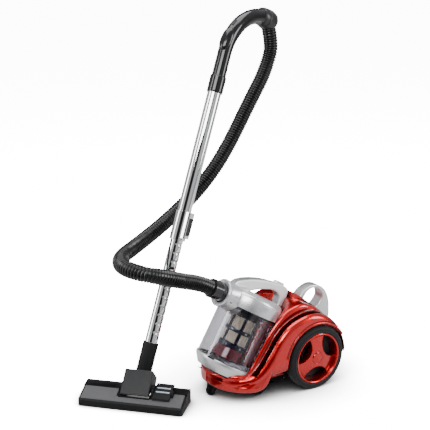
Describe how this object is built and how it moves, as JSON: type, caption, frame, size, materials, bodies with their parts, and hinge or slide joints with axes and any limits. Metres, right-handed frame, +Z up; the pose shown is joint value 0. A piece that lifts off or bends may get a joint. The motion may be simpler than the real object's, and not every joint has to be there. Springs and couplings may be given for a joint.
{
  "type": "canister vacuum cleaner",
  "caption": "Bagless canister vacuum cleaner with a tilted clear dust cup, ribbed hose, curved handle, telescopic wand and a wide floor head with a tilting neck.",
  "frame": {"origin": "centre of the bounding box without the hose, on the floor", "axes": "+Z up, the canister nose points to -X and its road wheels turn about Y"},
  "size_m": [0.701, 0.3863, 0.9179],
  "materials": {
    "red_gloss": "metallic red lacquer, high gloss",
    "silver": "silver satin paint",
    "pearl": "pearl silver, near white",
    "clear": "clear smoky polycarbonate, polished",
    "black_plastic": "moulded black plastic, fine texture",
    "black_gloss": "gloss black plastic",
    "dark_cage": "dark navy moulded plastic",
    "pleats": "pleated paper filter",
    "skirt_red": "deep translucent red plastic",
    "tyre": "dark rubber tread",
    "rubber": "soft seal rubber",
    "chrome": "polished chrome tube",
    "steel": "plain steel",
    "grey_panel": "mid grey moulded plastic",
    "grey_button": "grey moulded plastic",
    "hose_black": "ribbed black plastic hose",
    "foam": "open-cell filter foam",
    "copper": "wound copper and laminations",
    "bristle": "black nylon bristle"
  },
  "bodies": {
    "canister": {"upper_shell": "red_gloss", "base_tray": "black_plastic", "handle_fairing": "red_gloss", "rear_cover": "pearl", "carry_handle": "silver", "exhaust_filter": "foam", "motor_housing": "black_plastic", "motor_stator": "copper", "motor_mounts": "rubber", "reel_axle": "steel", "intake_duct": "black_plastic", "premotor_filter": "foam", "power_switch": "black_plastic", "cord_gland": "black_plastic", "wheel_axles": "steel", "body_screws": "steel", "hose_upper": "hose_black", "hose_lower": "hose_black", "lower_tube": "chrome", "neck_elbow": "black_plastic"},
    "wheel_left": {"tyre_left": "tyre", "rim_left": "red_gloss"},
    "wheel_right": {"tyre_right": "tyre", "rim_right": "red_gloss"},
    "caster_swivel": {"caster_fork": "black_plastic"},
    "caster_roller": {"caster_wheel": "black_plastic"},
    "rotor": {"motor_rotor": "steel"},
    "reel": {"cord_reel": "black_plastic"},
    "power_pedal": {"power_pedal": "red_gloss"},
    "rewind_pedal": {"rewind_pedal": "red_gloss"},
    "dust_cup": {"cup_wall": "clear", "inlet_collar": "silver", "cup_lid": "silver", "cup_handle": "pearl", "cup_base_ring": "silver", "bottom_door": "silver", "cup_seals": "rubber", "filter_cage": "dark_cage", "filter_pleats": "pleats", "filter_skirt": "skirt_red"},
    "release_button": {"release_button": "silver"},
    "hose_cuff_lower": {"hose_cuff_lower": "black_gloss"},
    "hose_cuff_upper": {"hose_cuff_upper": "black_gloss"},
    "bleed_slider": {"bleed_slider": "black_plastic"},
    "latch_button": {"latch_button": "grey_button"},
    "upper_wand": {"upper_tube": "chrome", "latch_housing": "black_gloss", "handle_grip": "black_gloss", "handle_elbow": "black_gloss", "grip_inlay": "grey_button"},
    "neck": {"neck_hood": "black_plastic"},
    "floor_head": {"head_shell": "black_plastic", "head_panel": "grey_panel", "sole_plate": "black_plastic"},
    "head_pedal": {"head_pedal": "black_plastic"},
    "brush_strips": {"brush_strips": "bristle"},
    "head_rollers": {"head_rollers": "black_plastic"}
  },
  "joints": [
    {"name": "wheel_left_spin", "type": "hinge", "parent": "canister", "child": "wheel_left", "pos_m": [0.1995, -0.1741, 0.082], "axis": [0, 1, 0], "continuous": true},
    {"name": "wheel_right_spin", "type": "hinge", "parent": "canister", "child": "wheel_right", "pos_m": [0.1995, 0.0219, 0.082], "axis": [0, 1, 0], "continuous": true},
    {"name": "caster_swivel", "type": "hinge", "parent": "canister", "child": "caster_swivel", "pos_m": [-0.0385, -0.0761, 0.03], "axis": [0, 0, 1], "continuous": true},
    {"name": "caster_roll", "type": "hinge", "parent": "caster_swivel", "child": "caster_roller", "pos_m": [-0.0465, -0.0761, 0.012], "axis": [0, 1, 0], "continuous": true},
    {"name": "rotor_spin", "type": "hinge", "parent": "canister", "child": "rotor", "pos_m": [0.1755, -0.0961, 0.098], "axis": [1, 0, 0], "continuous": true},
    {"name": "reel_spin", "type": "hinge", "parent": "canister", "child": "reel", "pos_m": [0.2135, -0.0281, 0.1], "axis": [0, 1, 0], "continuous": true},
    {"name": "power_pedal_press", "type": "slide", "parent": "canister", "child": "power_pedal", "axis": [0, 0, -1], "range_m": [0, 0.004], "stiffness_N_per_m": 500, "springref_m": -0.004},
    {"name": "rewind_pedal_press", "type": "slide", "parent": "canister", "child": "rewind_pedal", "axis": [0, 0, -1], "range_m": [0, 0.004], "stiffness_N_per_m": 500, "springref_m": -0.004},
    {"name": "cup_lift", "type": "slide", "parent": "canister", "child": "dust_cup", "axis": [0.5, 0, 0.866], "range_m": [0, 0.15], "deforming": ["hose_lower"]},
    {"name": "release_press", "type": "slide", "parent": "dust_cup", "child": "release_button", "axis": [-0.5, 0, -0.866], "range_m": [0, 0.0025], "stiffness_N_per_m": 400, "springref_m": -0.004},
    {"name": "lower_cuff_swivel", "type": "hinge", "parent": "dust_cup", "child": "hose_cuff_lower", "pos_m": [-0.0133, -0.0761, 0.26403], "axis": [0.866, 0, -0.5], "continuous": true},
    {"name": "upper_cuff_swivel", "type": "hinge", "parent": "upper_wand", "child": "hose_cuff_upper", "pos_m": [0.29125, 0.16857, 0.86036], "axis": [0.2799, 0.08, -0.9567], "continuous": true},
    {"name": "bleed_slide", "type": "slide", "parent": "upper_wand", "child": "bleed_slider", "axis": [0.7763, 0.2602, 0.5741], "range_m": [0, 0.01]},
    {"name": "latch_press", "type": "slide", "parent": "upper_wand", "child": "latch_button", "axis": [-0.3178, 0.9482, 0], "range_m": [0, 0.0025], "stiffness_N_per_m": 400, "springref_m": -0.004},
    {"name": "wand_telescope", "type": "slide", "parent": "canister", "child": "upper_wand", "axis": [-0.3699, -0.124, -0.9208], "range_m": [0, 0.225], "deforming": ["hose_upper"]},
    {"name": "neck_swivel", "type": "hinge", "parent": "canister", "child": "neck", "pos_m": [-0.1884, 0.00822, 0.06962], "axis": [0.5078, 0.4921, 0.7071], "range_deg": [-40, 40]},
    {"name": "neck_pitch", "type": "hinge", "parent": "neck", "child": "floor_head", "pos_m": [-0.2121, -0.01475, 0.03662], "axis": [0.6959, -0.7181, 0], "range_deg": [-8, 45]},
    {"name": "pedal_rock", "type": "hinge", "parent": "floor_head", "child": "head_pedal", "pos_m": [-0.23105, -0.01759, 0.037], "axis": [0.6959, -0.7181, 0], "range_deg": [-7, 0]},
    {"name": "brush_lift", "type": "slide", "parent": "floor_head", "child": "brush_strips", "axis": [0, 0, 1], "range_m": [0, 0.0035]},
    {"name": "rollers_roll", "type": "hinge", "parent": "floor_head", "child": "head_rollers", "pos_m": [-0.20951, 0.00329, 0.009], "axis": [0.6959, -0.7181, 0], "continuous": true}
  ],
  "couplings": [
    {"joint": "brush_lift", "follows": "pedal_rock", "m_per_rad": -0.0286}
  ]
}
